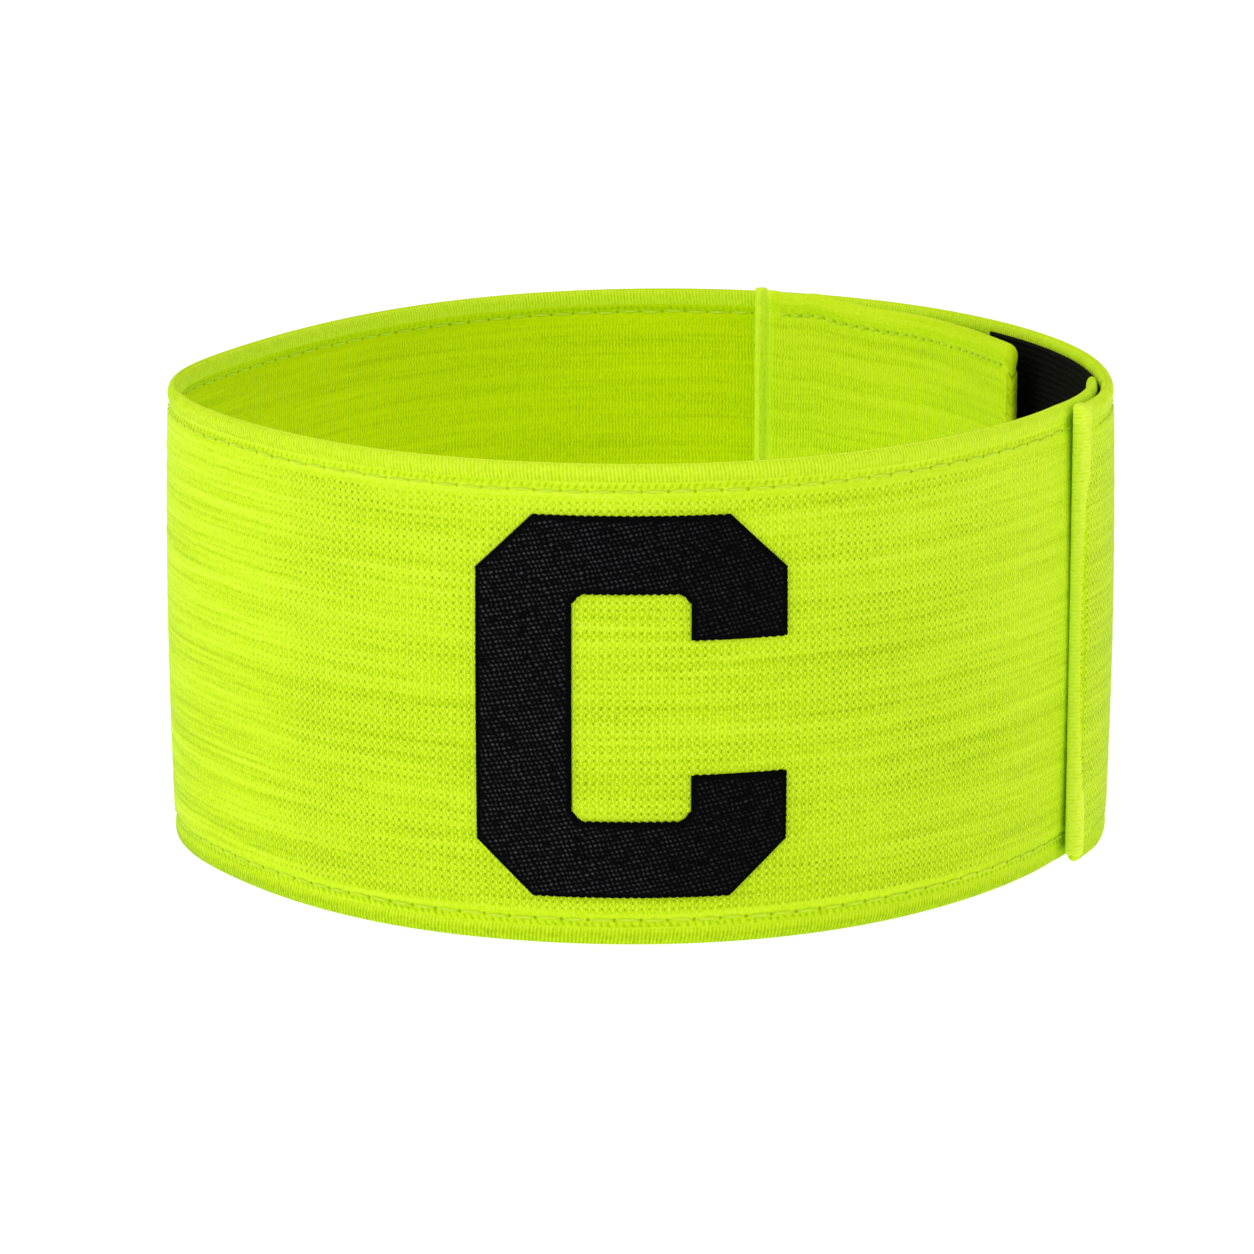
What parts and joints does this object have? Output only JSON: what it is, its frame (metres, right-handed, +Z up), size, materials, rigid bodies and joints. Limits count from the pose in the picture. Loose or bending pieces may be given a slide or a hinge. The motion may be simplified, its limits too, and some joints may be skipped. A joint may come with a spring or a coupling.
{
  "type": "captain armband",
  "caption": "Hemmed elastic armband closed into a ring by a lapped hook tab, with an inner flap and a raised captain's letter in front.",
  "frame": {"origin": "under the middle of the ring, on the surface that its lower hem stands on", "axes": "+Z up along the axis of the ring, -Y towards the letter, +X towards the closure"},
  "size_m": [0.1132, 0.1158, 0.0557],
  "materials": {
    "neon_knit": "neon yellow-green knitted elastic, matt, fine ribs along the strip, rolled and stitched hems",
    "flap_knit": "the same neon yellow-green elastic, doubled, with a running stitch along its edges",
    "hook_tape": "black woven hook tape, matt",
    "letter_satin": "black woven patch with a short slanted grain and a sewn edge"
  },
  "bodies": {
    "root": {"elastic_band": "neon_knit", "inner_flap": "flap_knit", "hook_patch": "hook_tape", "letter_c": "letter_satin"}
  },
  "joints": []
}
